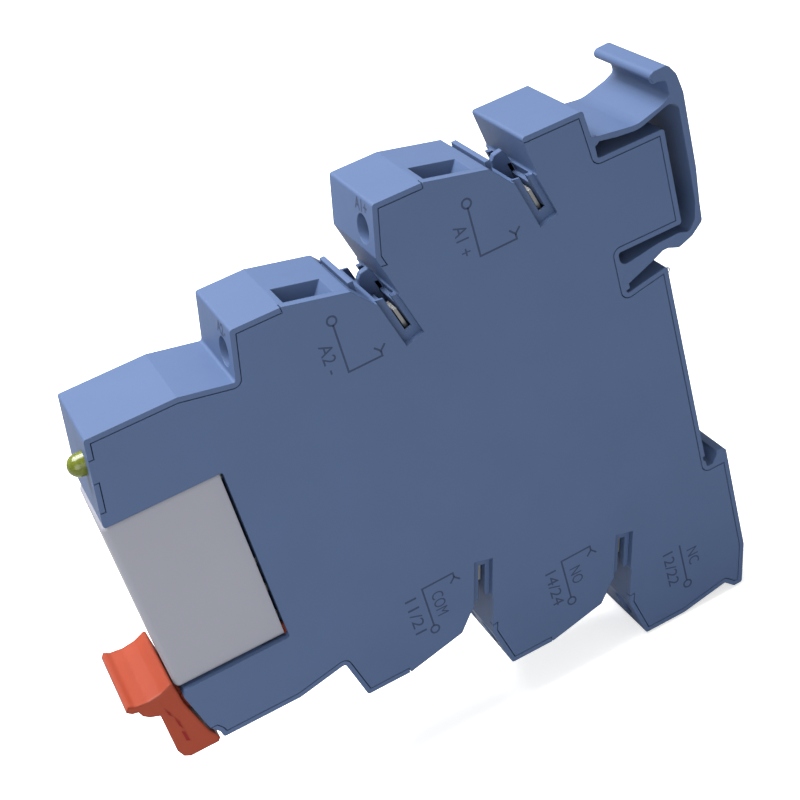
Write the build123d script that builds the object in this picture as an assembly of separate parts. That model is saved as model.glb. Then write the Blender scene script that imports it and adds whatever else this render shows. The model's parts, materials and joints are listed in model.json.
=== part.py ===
from build123d import *

import os
from math import cos, radians, sin, tan

# Slim relay module for a 35 mm mounting rail, in millimetres.
# X runs along the rail, with the removable cover at +X. The front, with the relay, is at -Y.
# +Z is the input side. The origin is the middle of the face that lies on the rail.

# Overall body
module_width = 14.0
cover_thickness = 1.0
floor_thickness = 1.0
outer_wall = 1.2
rim_width = 0.8
cover_gap = 0.12
corner_round = 0.4

# Heights are measured from the line about which input and output sides mirror
mid_z = 3.7
head_half = 24.6
tier_half = 29.7
tier_pitch_y = 21.1
tier_pitch_z = 7.2
tier_front_y = -57.2
wall_lean = 1.5
wall_drop = 6.6
top_flat = 6.7
tier_tilt = 13.0
slope_length = 8.9
nose_length = 2.5
nose_drop = 3.0
gap_floor_drop = 5.5
plain_block_length = 8.6
heel_length = 18.5
heel_rise = 1.4

# Head and relay bay
head_front_y = -77.8
head_front_lean = 2.2
head_bend_y = -65.9
bay_back_y = -64.2
bay_low_z = -10.95
bay_high_z = 16.3
arm_step = 0.4
arm_toe_y = -77.3
socket_wall = 1.2

# Rail seat
rail_width = 35.0
rail_clearance = 0.1
rail_slot = 1.9
foot_hook = 1.6
foot_hook_height = 1.8
rail_lip_z = 15.5
latch_root_y = -6.5
block_rear_y = 3.2
latch_block_low_z = 20.4
latch_block_high_z = 33.9

# Spring foot, moulded in one with the housing
foot_wall = 0.9
foot_rear_y = 6.7
nose_low_z = 17.25

# Terminal units, in a frame that leans with the tier
unit_x = 3.45
guide_radius = 1.9
guide_drop = 4.0
guide_wall = 1.4
head_radius = 2.05
head_start = 1.6
head_length = 1.8
shank_radius = 1.5
shank_end = 7.4
thread_clearance = 0.03
slot_width = 0.6
slot_depth = 0.9
cage_front = 5.7
cage_wall = 1.2
cage_rear_wall = 0.9
cage_length = 6.8
cage_width = 4.8
cage_side_wall = 0.6
cage_height = 4.6
chamber_end = 12.9
chamber_half = 2.6
tongue_start = 7.5
strip = 0.8
tongue_width = 3.4
tongue_depth = 7.2
funnel_mouth = 6.4
funnel_mouth_width = 4.7
funnel_throat = 3.3
funnel_throat_width = 3.6
funnel_centre = 10.4
slope_height = 5.6

# Bridge shafts between the tiers
shaft_lean = 15.6
shaft_width = 2.8
shaft_depth = 7.4
slit_width = 1.0
slit_depth = 6.0
pocket_width = 1.9
shaft_middle = 1.8
shaft_inner_x = 0.9
shaft_outer_x = 5.6
trough_depth = 2.4
trough_start = 0.5
trough_inner_x = 0.5
trough_outer_x = 5.1
trough_reach = 2.9
rib_depth = 0.9
leaf = 0.5
leaf_drop = 3.2

# Marker bar across the nose of each input tier
bar_low_x = -5.3
bar_high_x = 4.4
bar_width = 0.7
bar_rise = -0.1
bar_start = 16.0
bar_slit = 0.35

# Plug-in relay
relay_width = 12.7
relay_depth = 15.7
relay_play = 0.15
relay_gap = 0.4
relay_wall = 0.6
relay_round = 0.8
base_thickness = 1.5
pin_x = 3.75
pin_width = 1.0
pin_thickness = 0.5
pin_length = 3.5
coil_pin_z = 14.3
no_pin_z = 0.3
com_pin_z = -4.3
nc_pin_z = -8.9
coil_y = -73.2
coil_radius = 4.6
core_radius = 1.6
coil_low_z = 1.5
coil_high_z = 14.2
yoke_wall = 1.0
armature_top_z = 0.85
armature_thickness = 0.9
moving_z = -4.3
moving_root_y = -67.6
moving_contact_y = -75.5
card_gap = 0.8
contact_radius = 0.8

# Ejector lever
lever_width = 13.4
lever_pivot_y = -67.5
pivot_rise = 3.4
trunnion_radius = 1.2
trunnion_depth = 0.6
trunnion_clearance = 0.05
boss_radius = 1.9
finger_thickness = 1.0
finger_rise = 1.45
finger_inner_x = 4.7
shank_half_width = 5.6

# Inside: hollow, divider, contact strips and circuit board
room_half = 16.1
pocket_floor = 12.0
pocket_drop = 11.9
block_pocket_drop = 8.4
pocket_start = 3.6
pocket_end = 15.6
board_low_z = 8.5
divider_thickness = 0.8
inset = 0.15
web_x = 4.9
inner_web_x = 1.9
fork_leaf = 0.4
fork_clearance = 0.03
fork_half_z = 0.8
fork_back_y = -60.6
board_x = -2.0
board_thickness = 1.2
led_x = 3.4
led_drop = 4.6
led_radius = 1.5
led_length = 3.5
led_pitch = 2.54
dome_stand = 1.5

half_width = module_width / 2
inner_low_x = -half_width + floor_thickness
inner_high_x = half_width - cover_thickness
tilt = radians(tier_tilt)
lean = radians(shaft_lean)
arm_front_y = bay_back_y - relay_gap - relay_depth + arm_step
lever_pivot_z = mid_z - head_half + pivot_rise
finger_tip_z = bay_low_z + finger_rise
led_z = mid_z + head_half - led_drop
dome_y = head_front_y - dome_stand
PIN_LEVELS = (coil_pin_z, no_pin_z, com_pin_z, nc_pin_z)


def face(points, round_by=0.0):
    """A flat outline in Y and Z, with its corners rounded by one radius or by a list."""
    return make_face(FilletPolyline(*points, radius=round_by, close=True))


def slab(sketch, x_low, x_high):
    """Carries an outline in Y and Z along X."""
    return extrude(Plane.YZ.offset(x_low) * sketch, amount=x_high - x_low)


def block(x, y, z):
    """A box from three pairs of limits."""
    size = [pair[1] - pair[0] for pair in (x, y, z)]
    middle = [(pair[1] + pair[0]) / 2 for pair in (x, y, z)]
    return Pos(*middle) * Box(*size)


def rod(y, z, radius, x_low, x_high):
    """A round bar along X."""
    return slab(Pos(y, z) * Circle(radius), x_low, x_high)


def front_rod(x, z, radius, y_low, y_high):
    """A round bar along Y."""
    start = Plane(origin=(x, y_low, z), z_dir=(0, 1, 0))
    return extrude(start * Circle(radius), amount=y_high - y_low)


def strip_path(points, width):
    """A flat strip of one width along a bent line in Y and Z."""
    return trace(Polyline(*points), width)


def tier_top(tier):
    return tier_half + tier * tier_pitch_z


def tier_front(tier):
    return tier_front_y + tier * tier_pitch_y


def level(height, side):
    """Z of a height above the mirror line, on the input (1) or output (-1) side."""
    return mid_z + side * height


def unit_origin(tier):
    """Centre of the screwdriver hole on the front wall of a tier, as Y and height."""
    drop_share = guide_drop / wall_drop
    return tier_front(tier) - wall_lean * drop_share, tier_top(tier) - guide_drop


def unit_point(tier, side, along, out):
    """A place in a terminal unit's leaning frame, given as Y and Z."""
    y, height = unit_origin(tier)
    y += along * cos(tilt) + out * sin(tilt)
    height += out * cos(tilt) - along * sin(tilt)
    return y, level(height, side)


def unit_plane(tier, side, x):
    """The leaning frame itself: local x runs along the screw, local y out along the wire."""
    y, height = unit_origin(tier)
    inward = (0, cos(tilt), -side * sin(tilt))
    return Plane(origin=(x, y, level(height, side)), x_dir=inward, z_dir=(side, 0, 0))


def unit_rod(tier, side, x, radius, low, high):
    """A round bar along the screw of a terminal unit."""
    plane = unit_plane(tier, side, x)
    along = Plane(origin=plane.origin, z_dir=plane.x_dir)
    return extrude(along.offset(low) * Circle(radius), amount=high - low)


def unit_box(tier, side, x, along, out, width):
    """A box in the frame of a terminal unit."""
    middle = Pos((along[0] + along[1]) / 2, (out[0] + out[1]) / 2, 0)
    return unit_plane(tier, side, x) * middle * Box(along[1] - along[0], out[1] - out[0], width)


def shaft_point(tier, side, down, across):
    """A place in a bridge shaft: down from the nose of the tier, and across from its front wall."""
    y = tier_front(tier) + top_flat + slope_length * cos(tilt) + nose_length
    y += down * sin(lean) + across * cos(lean)
    height = tier_top(tier) - slope_length * sin(tilt) - nose_drop - down * cos(lean)
    return y, level(height + across * sin(lean), side)


def tier_edge(tier):
    """Y and height along one tier, from the foot of its front wall to the gap behind it."""
    front, top = tier_front(tier), tier_top(tier)
    slope_y = front + top_flat + slope_length * cos(tilt)
    slope_h = top - slope_length * sin(tilt)
    gap_y = front + tier_pitch_y + 0.2
    return [
        (front - wall_lean, top - wall_drop),
        (front, top),
        (front + top_flat, top),
        (slope_y, slope_h),
        (slope_y + nose_length, slope_h - nose_drop),
        (gap_y, top - gap_floor_drop),
    ]


def input_edge():
    """The top of the outline, from the head to the back of the plain block."""
    foot = tier_edge(0)[0]
    bend_h = foot[1] + (foot[0] - head_bend_y) * tan(tilt)
    points = [(head_front_y - head_front_lean, bay_high_z - mid_z)]
    points += [(head_front_y, head_half), (head_bend_y, min(head_half, bend_h))]
    points += tier_edge(0) + tier_edge(1)
    block_front = tier_front(2) - wall_lean / 2
    block_top = tier_top(1)
    points += [(block_front, block_top), (block_front + plain_block_length, block_top)]
    points.append((latch_root_y, latch_block_high_z - mid_z))
    return [(y, level(h, 1)) for y, h in points]


def output_edge():
    """The bottom of the outline, from the arm under the relay to the heel."""
    foot = tier_edge(0)[0]
    arm_low = head_half
    points = [(arm_toe_y, arm_low), (head_bend_y, arm_low)]
    points += tier_edge(0) + tier_edge(1)
    front, top = tier_front(2), tier_top(2)
    heel = front + heel_length
    points += [(front - wall_lean, top - wall_drop), (front, top), (front + top_flat, top)]
    points += [(heel - 4.3, top - heel_rise), (heel - 2.9, top), (heel - 1.5, top)]
    points.append((heel, top - wall_drop))
    return [(y, level(h, -1)) for y, h in points]


def rail_edge():
    """The rear of the outline, from the latch down to the heel, along the rail."""
    low_edge = -rail_width / 2 - rail_clearance
    slit_z = rail_lip_z - 1.2
    return [
        (block_rear_y, latch_block_high_z),
        (block_rear_y, latch_block_low_z),
        (latch_root_y, latch_block_low_z),
        (latch_root_y, slit_z),
        (0, rail_lip_z),
        (0, low_edge),
        (rail_slot + foot_hook, low_edge),
    ]


def bay_edge():
    """The relay bay and the front of the arm below it."""
    return [
        (arm_toe_y - 0.2, level(head_half, -1) + 1.1),
        (arm_toe_y - 1.2, level(head_half, -1) + 2.5),
        (arm_front_y, bay_low_z - 1.0),
        (arm_front_y + 0.5, bay_low_z),
        (bay_back_y, bay_low_z),
        (bay_back_y, bay_high_z),
    ]


def body_face():
    points = input_edge() + rail_edge() + list(reversed(output_edge())) + bay_edge()
    return face(points, corner_round)


def rail_hook_face():
    """The fixed foot: a rising hook, with a vee slot for the lower edge of the rail."""
    low_edge = -rail_width / 2 - rail_clearance
    inner = rail_slot
    outer = rail_slot + foot_hook
    top = low_edge + foot_hook_height
    points = [(0, low_edge - 1.5), (inner * 0.55, low_edge), (inner, low_edge + 1.2)]
    points += [(inner, top), (outer - 0.5, top), (outer, top - 0.6), (outer, low_edge - 1.5)]
    return face(points)


def rail_slot_face():
    low_edge = -rail_width / 2 - rail_clearance
    relief = -0.35
    return face([(relief, low_edge + 1.9), (relief, low_edge + 1.3), (rail_slot / 2, low_edge),
                 (rail_slot, low_edge + 1.4), (rail_slot, low_edge + 1.9)])


def spring_foot_face():
    """The sprung loop that snaps over the upper edge of the rail."""
    rear = foot_rear_y
    inner = rear - foot_wall
    root_top = latch_block_high_z + 2.9
    outer_points = [
        (latch_root_y - 0.3, root_top),
        (-3.3, root_top - 0.5),
        (-0.3, root_top - 0.9),
        (3.4, root_top + 0.1),
        (4.9, root_top + 0.8),
        (4.7, root_top + 3.0),
        (3.1, root_top + 3.3),
        (2.4, root_top + 4.0),
        (3.1, root_top + 4.7),
        (5.3, root_top + 4.8),
        (rear - 0.4, root_top + 3.2),
        (rear + 0.1, root_top + 0.6),
        (rear, 27.0),
        (rear - 0.4, 22.0),
        (rear - 0.5, nose_low_z + 2.2),
        (4.4, nose_low_z + 0.8),
        (2.2, nose_low_z),
        (0.6, nose_low_z + 0.65),
        (-0.2, nose_low_z + 0.65),
        (-1.5, nose_low_z + 0.05),
        (latch_root_y, rail_lip_z - 0.1),
    ]
    outer_radii = [0, 3, 4, 3, 0.7, 0.7, 0.6, 0.69, 0.6, 0.8, 2, 2, 10, 3, 0.8, 2, 0.8, 0.5, 0.5, 1, 0]
    inner_points = [
        (latch_root_y, latch_block_low_z - 2.1),
        (-0.6, latch_block_low_z - 1.2),
        (2.6, latch_block_low_z - 1.1),
        (4.1, latch_block_low_z - 1.6),
        (5.2, latch_block_low_z - 0.3),
        (inner - 0.1, 22.5),
        (inner, 27.0),
        (inner, root_top - 1.1),
        (5.0, root_top + 0.1),
        (-0.2, root_top - 1.6),
        (-3.2, root_top - 1.3),
        (latch_root_y, root_top - 0.7),
    ]
    inner_radii = [1.0, 2, 1, 0.6, 1.2, 2, 10, 0.6, 1.5, 4, 3, 0.6]
    ring = face(outer_points, outer_radii) - face(inner_points, inner_radii)
    root_back, root_front = latch_root_y - 0.8, latch_root_y + 0.6
    root = face([
        (root_back, rail_lip_z - 0.9),
        (root_front, rail_lip_z - 0.6),
        (root_front, latch_block_low_z - 2.0),
        (root_back, latch_block_low_z + 0.2),
    ])
    return ring + (root - face(inner_points, inner_radii))


def pivot_hole(x_low, x_high):
    return rod(lever_pivot_y, lever_pivot_z, trunnion_radius + trunnion_clearance, x_low, x_high)


def chamber_face(tier, side):
    """The room of a terminal unit, and the way its tongue leaves it."""
    corners = [(guide_wall, -chamber_half), (guide_wall, chamber_half)]
    corners += [(chamber_end, chamber_half), (chamber_end, -chamber_half)]
    room = face([unit_point(tier, side, a, b) for a, b in corners])
    way_low, way_high = tongue_start - 0.3, tongue_start + strip + 0.3
    way = [(way_low, -tongue_depth - 2.5), (way_low, 0), (way_high, 0), (way_high, -tongue_depth - 2.5)]
    return room + face([unit_point(tier, side, a, b) for a, b in way])


def under_tier_face(tier, side, start, end, rise):
    """The hollow between a terminal unit and the middle of the body."""
    front, top = tier_front(tier), tier_top(tier)
    low, high = level(pocket_floor, side), level(top - rise, side)
    back, rear = front + start, front + end
    return face([(back, low), (back, high), (rear, high), (rear, low)])


def box_face(y, z):
    """An upright rectangle in Y and Z from two pairs of limits."""
    return face([(y[0], z[0]), (y[0], z[1]), (y[1], z[1]), (y[1], z[0])])


def cavity_face():
    """Every hollow of the tub, as one outline."""
    room_back, room_rear = bay_back_y + socket_wall, latch_root_y - 1.5
    room = box_face((room_back, room_rear), (level(room_half, -1), level(room_half, 1)))
    heel_floor = tier_top(2) - pocket_drop
    rear = box_face((room_rear - 1, -outer_wall), (level(heel_floor - 1, -1), rail_lip_z - 2.5))
    head_low = bay_high_z + outer_wall
    head_front = head_front_y - head_front_lean + 1.6
    head_top = level(head_half, 1) - outer_wall
    foot_y, foot_h = tier_edge(0)[0]
    head = face([
        (head_front, head_low),
        (head_front + 2.0, head_top),
        (head_bend_y - 0.2, head_top),
        (foot_y - 1.5, level(foot_h, 1) - outer_wall),
        (foot_y - 1.5, head_low),
    ])
    rooms = room + rear + head
    rooms += under_tier_face(0, 1, -5.0, pocket_end, pocket_drop)
    rooms += under_tier_face(0, -1, 0.5, pocket_end, pocket_drop)
    rooms += under_tier_face(1, 1, pocket_start, pocket_end, pocket_drop)
    rooms += under_tier_face(1, -1, pocket_start, pocket_end, pocket_drop)
    rooms += under_tier_face(2, 1, pocket_start, 6.0, block_pocket_drop)
    rooms += under_tier_face(2, -1, pocket_start, 11.0, pocket_drop)
    heel_y = (-outer_wall - 1, rail_slot + foot_hook - outer_wall - 0.3)
    heel_z = (level(heel_floor - 2, -1), -rail_width / 2 - rail_clearance - 2.3)
    rooms += box_face(heel_y, heel_z)
    for tier, side in BRIDGED + [(2, -1)]:
        rooms += chamber_face(tier, side)
    latch_y = (latch_root_y + outer_wall, block_rear_y - outer_wall)
    latch_z = (latch_block_low_z + outer_wall, latch_block_high_z - outer_wall)
    return rooms + box_face(latch_y, latch_z)


def arm_room():
    """The room of the lever's shank inside the arm, open to the front."""
    low, high = level(head_half, -1) + 1.1, bay_low_z - 1.15
    room = slab(box_face((arm_front_y - 3.1, bay_back_y + 1.0), (low, high)), inner_low_x, inner_high_x)
    slot_y = (lever_pivot_y - 0.4, bay_back_y + socket_wall + 0.1)
    slot_z = (high - 1, finger_tip_z + 1.2)
    for x in (-1, 1):
        middle = x * (finger_inner_x + finger_thickness / 2)
        reach = finger_thickness / 2 + 0.15
        room += block((middle - reach, middle + reach), slot_y, slot_z)
    return room


def guide_hole(tier, side, x):
    return unit_rod(tier, side, x, guide_radius, -1.5, guide_wall + 0.1)


def funnel(tier, side, x):
    """A tapered wire entry, from the slope down into the terminal's room."""
    plane = unit_plane(tier, side, x)
    middle = plane.from_local_coords(Vector(funnel_centre, 0, 0))
    across = Plane(origin=middle, x_dir=plane.x_dir, z_dir=plane.y_dir)
    mouth = across.offset(slope_height + 0.02) * Rectangle(funnel_mouth, funnel_mouth_width)
    throat = across.offset(chamber_half - 0.1) * Rectangle(funnel_throat, funnel_throat_width)
    above = extrude(mouth, amount=2.5)
    return loft([throat.faces()[0], mouth.faces()[0]]) + above


def shaft_face(tier, side, wide):
    corners = [(-1.5, 0.2), (shaft_depth, 0.2), (shaft_depth, wide + 0.2), (-8, wide + 0.2)]
    return face([shaft_point(tier, side, d, a) for d, a in corners])


def shaft_box(tier, side, down, across):
    """An outline in the frame of a bridge shaft, from two pairs of limits."""
    (top, bottom), (left, right) = down, across
    corners = [(top, left), (bottom, left), (bottom, right), (top, right)]
    return face([shaft_point(tier, side, d, a) for d, a in corners])


def shaft_to_room(tier):
    """How far down its shaft a tier's pocket runs to reach the middle room."""
    drop = tier_top(tier) - slope_length * sin(tilt) - nose_drop - room_half
    return drop / cos(lean) + shaft_middle * tan(lean) + 0.3


def bridge_shaft(tier, side, x):
    """The pocket below the slit, where the contact leaf stands."""
    half = pocket_width / 2
    sides = (shaft_middle - half, shaft_middle + half)
    pocket = shaft_box(tier, side, (slit_depth, shaft_to_room(tier)), sides)
    low, high = sorted((x * shaft_inner_x, x * shaft_outer_x))
    return slab(pocket, low, high)


def bridge_trough(tier, side):
    """The open trough between two tiers, with a rib in the middle and a slit in its floor."""
    sides = (shaft_middle - slit_width / 2, shaft_middle + slit_width / 2)
    slit = shaft_box(tier, side, (-3.0, slit_depth + 0.1), sides)
    shape = slab(slit, inner_low_x, inner_high_x + 0.01)
    trough = shaft_box(tier, side, (-3.5, trough_depth), (trough_start, trough_reach))
    behind_rib = shaft_box(tier, side, (-3.5, trough_depth), (trough_start, trough_reach - rib_depth))
    for x in (-1, 1):
        low, high = sorted((x * trough_inner_x, x * trough_outer_x))
        shape += slab(trough, low, high)
    return shape + slab(behind_rib, inner_low_x + 0.4, inner_high_x - 0.4)


def marker_bar(tier):
    """A low bar across the nose of an input tier, behind a slit that takes a label."""
    start = tier_front(tier) + bar_start
    z = level(tier_top(tier) - slope_length * sin(tilt), 1)
    return block((bar_low_x, bar_high_x), (start, start + bar_width), (z - 1.6, z + bar_rise))


def marker_slit(tier):
    start = tier_front(tier) + bar_start
    z = level(tier_top(tier) - slope_length * sin(tilt), 1)
    return block((bar_low_x, bar_high_x + 0.6), (start - bar_slit, start), (z - 0.9, z + 1.0))


# Each terminal: its name, tier, side (input 1, output -1), and near (1) or far (-1) half
TIERS = [
    ("a2", 0, 1, 1),
    ("a1", 1, 1, 1),
    ("11", 0, -1, 1),
    ("14", 1, -1, 1),
    ("12", 2, -1, 1),
    ("21", 0, -1, -1),
    ("24", 1, -1, -1),
    ("22", 2, -1, -1),
]

# Tiers with a bridge shaft behind them
BRIDGED = [(0, 1), (1, 1), (0, -1), (1, -1)]


def cover_tabs():
    """Where the cover reaches the edge: at the slopes, at the relay bay and at the front."""
    tabs = []
    for tier, side in BRIDGED:
        front, top = tier_front(tier), tier_top(tier)
        start, end = front + top_flat, front + tier_pitch_y + 1.2
        tabs.append(face([
            (start, level(top + 1, side)),
            (end, level(top - 1, side)),
            (end + 1.5, level(top - 14, side)),
            (start, level(top - 14, side)),
        ]))
    beyond, wall = arm_front_y - 4.1, bay_back_y + socket_wall
    arm_back = arm_toe_y + 1.3
    above, below = bay_high_z + socket_wall, bay_low_z - socket_wall
    tabs.append(face([
        (beyond + 2, bay_high_z - 2),
        (beyond + 2, above + 1.0),
        (head_bend_y - 4.1, above),
        (wall, above),
        (wall, below),
        (arm_back, below),
        (arm_back, level(head_half, -1) + 2.4),
        (beyond, level(head_half, -1) + 2.4),
        (beyond, bay_high_z - 2),
    ]))
    front, lamp = head_front_y + 1.2, led_z - 1.3
    tabs.append(face([(beyond + 2, lamp), (beyond + 2, lamp + 3), (front, lamp + 3), (front - 0.8, lamp)]))
    return tabs


def cover_face():
    """The cover lies inside the rim, apart from its tabs."""
    body = body_face()
    inner = offset(body, amount=-rim_width, kind=Kind.INTERSECTION)
    for tab in cover_tabs():
        inner += tab & body
    return inner


def housing():
    """The tub, with its terminal rooms, relay bay, shafts and both rail feet."""
    body = slab(body_face(), -half_width, half_width)
    body += slab(rail_hook_face(), -half_width, half_width)
    body -= slab(rail_slot_face(), -half_width - 1, half_width + 1)
    body += slab(spring_foot_face(), -half_width, half_width)
    body -= slab(cavity_face(), inner_low_x, inner_high_x + 0.01)
    body -= arm_room()
    seat = offset(cover_face(), amount=cover_gap, kind=Kind.INTERSECTION)
    body -= slab(seat, inner_high_x, half_width + 1)
    for name, tier, side, x in TIERS:
        body -= guide_hole(tier, side, x * unit_x)
        body -= funnel(tier, side, x * unit_x)
        if tier < 2:
            body -= bridge_shaft(tier, side, x)
    for tier, side in BRIDGED:
        body -= slab(shaft_face(tier, side, shaft_width), -half_width - 1, inner_low_x)
        body -= bridge_trough(tier, side)
    for tier in (0, 1):
        body -= marker_slit(tier)
        body += marker_bar(tier)
    body -= pivot_hole(inner_low_x - trunnion_depth - 0.05, inner_low_x + 0.1)
    body -= lamp_hole()
    return body - pin_slots()


def lamp_hole():
    return front_rod(led_x, led_z, led_radius + 0.05, dome_y - 2.6, dome_y + 2.9)


def pin_slots():
    """The slots in the back wall of the bay that the relay's pins enter."""
    wall = (bay_back_y - 0.1, bay_back_y + socket_wall + 0.1)
    half_z = pin_width / 2 + 0.2
    return [
        block((x - pin_thickness, x + pin_thickness), wall, (z - half_z, z + half_z))
        for z in PIN_LEVELS for x in (-pin_x, pin_x)
    ]


def side_cover():
    cover = slab(cover_face(), inner_high_x, half_width)
    for tier, side in BRIDGED:
        cover -= slab(shaft_face(tier, side, shaft_width), inner_high_x - 1, half_width + 1)
    cover -= pivot_hole(inner_high_x - 0.1, inner_high_x + trunnion_depth + 0.05)
    return cover


def divider():
    """A thin plate between the near and far output contacts."""
    low_half = box_face((-70, 5), (-45, 4))
    plate = offset(cavity_face() & low_half, amount=-inset)
    return slab(plate, -divider_thickness / 2, divider_thickness / 2)


def lever():
    """The ejector lever: thumb pad, front apron, shank with fingers, and trunnions."""
    front, toe = arm_front_y, arm_toe_y
    top, low = bay_low_z, level(head_half, -1)
    y, z = lever_pivot_y, lever_pivot_z
    pad = [
        (front - 6.9, top + 1.45),
        (front - 6.1, top + 0.95),
        (front - 4.3, top + 0.7),
        (front - 2.5, top + 0.95),
        (front - 0.9, top + 1.65),
        (front - 0.6, top + 1.45),
    ]
    back = [
        (front - 0.3, top - 2.15),
        (front + 0.4, top - 4.95),
        (toe - 1.4, low + 1.8),
        (toe - 0.8, low + 0.8),
        (toe - 0.5, low),
        (toe - 0.9, low - 0.5),
    ]
    nose = [
        (front - 2.4, low - 0.5),
        (front - 3.2, low),
        (front - 3.7, low + 1.3),
        (front - 3.7, top - 2.15),
        (front - 4.9, top - 1.65),
        (front - 5.7, top - 0.95),
        (front - 6.0, top - 0.05),
        (front - 6.8, top + 0.15),
        (front - 7.4, top + 0.75),
    ]
    shank = [
        (front - 0.7, top - 1.45),
        (front - 0.7, top - 3.85),
        (toe + 0.3, top - 4.05),
        (y - 1.0, z - 1.7),
        (y, z - boss_radius),
        (y + 1.6, z - 1.1),
        (y + boss_radius, z),
        (y + 1.5, top - 1.65),
        (y + 1.0, top - 1.45),
    ]
    finger = [
        (y - 0.5, top - 2.05),
        (y - 0.5, z),
        (y + boss_radius, z),
        (y + 4.0, z + 3.5),
        (y + 4.0, finger_tip_z),
        (y + 3.0, finger_tip_z),
        (y + 3.0, top - 1.75),
    ]
    shape = slab(face(pad + back + nose), -lever_width / 2, lever_width / 2)
    shape += slab(face(shank), -shank_half_width, shank_half_width)
    for side in (-1, 1):
        edge = side * finger_inner_x, side * (finger_inner_x + finger_thickness)
        shape += slab(face(finger), min(edge), max(edge))
    return shape + rod(y, z, trunnion_radius, inner_low_x - trunnion_depth, inner_high_x + trunnion_depth)


def status_led():
    """A domed lamp behind the front wall, with its legs bent over to the board."""
    lamp = front_rod(led_x, led_z, led_radius, dome_y, dome_y + led_length)
    lamp += Pos(led_x, dome_y, led_z) * Sphere(led_radius)
    lamp += front_rod(led_x, led_z, led_radius + 0.3, dome_y + led_length - 0.7, dome_y + led_length)
    for y, z in lamp_legs():
        leg_y = (dome_y + led_length - 0.1, y + 0.25)
        lamp += block((led_x - 0.25, led_x + 0.25), leg_y, (z - 0.25, z + 0.25))
        lamp += block((board_x + 0.2, led_x + 0.25), (y - 0.25, y + 0.25), (z - 0.25, z + 0.25))
    return lamp


def lamp_legs():
    """Where the legs of the lamp pass through the board, as Y and Z."""
    return [(dome_y + led_length + 2.05, led_z + step) for step in (-led_pitch / 2, led_pitch / 2)]


def circuit_board():
    """The board between the input strips, the lamp and the coil contacts."""
    head_top = level(head_half, 1)
    foot_y, foot_h = tier_edge(0)[0]
    pocket_top = level(tier_half - pocket_drop, 1)
    back_y, front_y = tier_front_y + 14.7, bay_back_y + socket_wall + 0.8
    plate = face([
        (head_front_y + 2.3, bay_high_z + 1.7),
        (head_front_y + 3.6, head_top - 2.1),
        (head_bend_y - 0.7, head_top - 2.1),
        (foot_y - 2.1, level(foot_h, 1) - 2.0),
        (foot_y - 2.1, pocket_top - 0.5),
        (back_y, pocket_top - 0.5),
        (back_y, board_low_z),
        (front_y, board_low_z),
        (front_y, bay_high_z + 1.7),
    ])
    low, high = board_x - board_thickness / 2, board_x + board_thickness / 2
    board = slab(plate, low, high)
    for y, z in lamp_legs():
        board -= block((low - 1, high + 1), (y - 0.3, y + 0.3), (z - 0.3, z + 0.3))
    for y, z in (input_tab(0), input_tab(1)):
        board -= block((low - 1, high + 1), (y - 0.5, y + 0.5), (z - 0.5, z + 0.5))
    return board


def rectifier():
    front = board_x + board_thickness / 2
    body = block((front + 0.3, front + 3.0), (-58.5, -53.5), (10.5, 15.5))
    for y in (-57.5, -54.5):
        body += block((front + 0.02, front + 0.4), (y - 0.3, y + 0.3), (10.0, 16.0))
    return body


def resistors():
    front = board_x + board_thickness / 2
    return [block((front + 0.02, front + 0.7), (y, y + 3.2), (19.0, 20.6)) for y in (-72.0, -67.5)]


def diode():
    front = board_x + board_thickness / 2
    lead = block((front + 0.02, front + 1.3), (-49.2, -48.8), (10.0, 10.6))
    return rod_z(front + 1.3, -49.0, 1.2, 10.5, 15.0) + lead


def capacitor():
    back = board_x - board_thickness / 2
    return block((back - 2.6, back - 0.02), (-56.0, -48.0), (9.5, 17.0))


def rod_z(x, y, radius, z_low, z_high):
    return Pos(x, y, (z_low + z_high) / 2) * Cylinder(radius, z_high - z_low)


def input_tab(tier):
    """Where an input strip enters the board."""
    return ((-52.0, 18.0), (-44.5, 14.0))[tier]


def tongue(tier, side, x):
    """The strip that the screw presses the wire against."""
    out = (-tongue_depth, cage_height / 2)
    return unit_box(tier, side, x * unit_x, (tongue_start, tongue_start + strip), out, tongue_width)


def bridge_leaf(tier, side, x, start):
    """A leaf from a strip into the pocket of the bridge shaft behind its tier."""
    across = shaft_middle
    nose = shaft_point(tier, side, 0, across)
    down = side * (nose[1] - start[1]) / cos(lean)
    turn = shaft_point(tier, side, down, across)
    top = shaft_point(tier, side, leaf_drop, across)
    path = strip_path([start, turn, top], leaf)
    low, high = sorted((x * 2.6, x * (unit_x + tongue_width / 2)))
    return slab(path, low, high)


def pin_fork(z, x, x_far):
    """Two leaves that grip a relay pin, with a back plate out to the strip."""
    gap = pin_thickness / 2 + fork_clearance
    pieces = []
    y = (bay_back_y + socket_wall + 0.4, fork_back_y + 0.3)
    for low, high in ((pin_x - gap - fork_leaf, pin_x - gap), (pin_x + gap, pin_x + gap + fork_leaf)):
        pieces.append(block(sorted((x * low, x * high)), y, (z - fork_half_z, z + fork_half_z)))
    ends = [pin_x - gap - fork_leaf, pin_x + gap + fork_leaf, x_far]
    back = sorted((x * min(ends), x * max(ends)))
    pieces.append(block(back, (fork_back_y - 0.25, fork_back_y + 0.3), (z - fork_half_z, z + fork_half_z)))
    return pieces[0] + pieces[1] + pieces[2]


def web(points, width, x):
    low, high = sorted((x - strip / 2, x + strip / 2))
    return slab(strip_path(points, width), low, high)


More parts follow.
